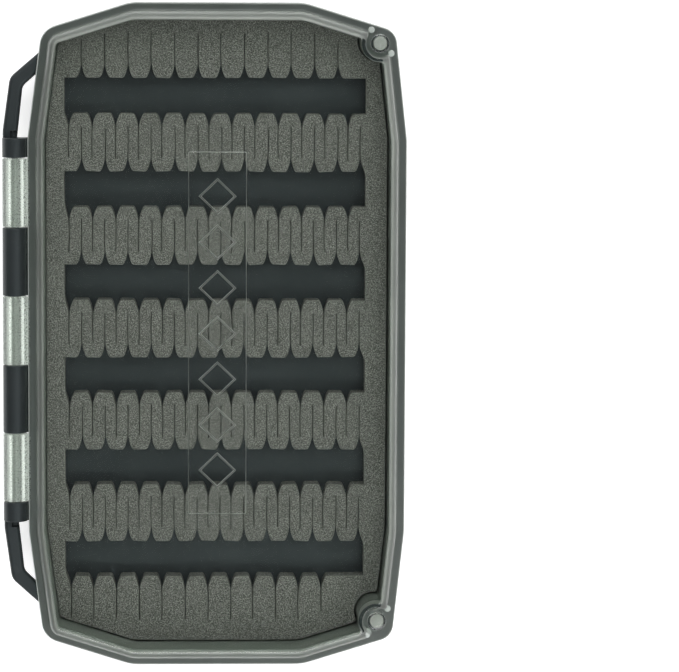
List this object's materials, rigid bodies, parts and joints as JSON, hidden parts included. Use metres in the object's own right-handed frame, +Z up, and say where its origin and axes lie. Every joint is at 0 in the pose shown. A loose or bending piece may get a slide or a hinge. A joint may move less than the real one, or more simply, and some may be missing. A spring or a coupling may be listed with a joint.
{
  "type": "fly box",
  "caption": "Slim hinged fly box with a clear lid over a slotted foam insert, side lanyard loops and magnetic closing corners.",
  "frame": {"origin": "centre of the box's footprint, over the hinge and the shells, on the surface that the base lies on", "axes": "+Y along the box's long side, +Z up from the base to the lid, +X from the hinge to the opening side"},
  "size_m": [0.1112, 0.184, 0.026],
  "materials": {
    "base_plastic": "fine matte texture, charcoal",
    "lid_plastic": "clear, faint grey-green smoke tint, polished",
    "foam": "fine closed-cell foam, medium grey, matte",
    "adhesive": "thin translucent film",
    "pin_steel": "drawn wire, bright",
    "magnet_plating": "satin nickel plating"
  },
  "bodies": {
    "base": {"base_shell": "base_plastic", "lanyard_loop_upper": "base_plastic", "lanyard_loop_lower": "base_plastic", "foam_adhesive_film": "adhesive", "foam_insert": "foam", "hinge_pin": "pin_steel", "base_magnet_upper": "magnet_plating", "base_magnet_lower": "magnet_plating"},
    "lid": {"lid_shell": "lid_plastic", "lid_magnet_upper": "magnet_plating", "lid_magnet_lower": "magnet_plating"}
  },
  "joints": [
    {"name": "lid_hinge", "type": "hinge", "parent": "base", "child": "lid", "pos_m": [-0.0523, 0.0015, 0.0175], "axis": [0, -1, 0], "range_deg": [0, 180]}
  ]
}
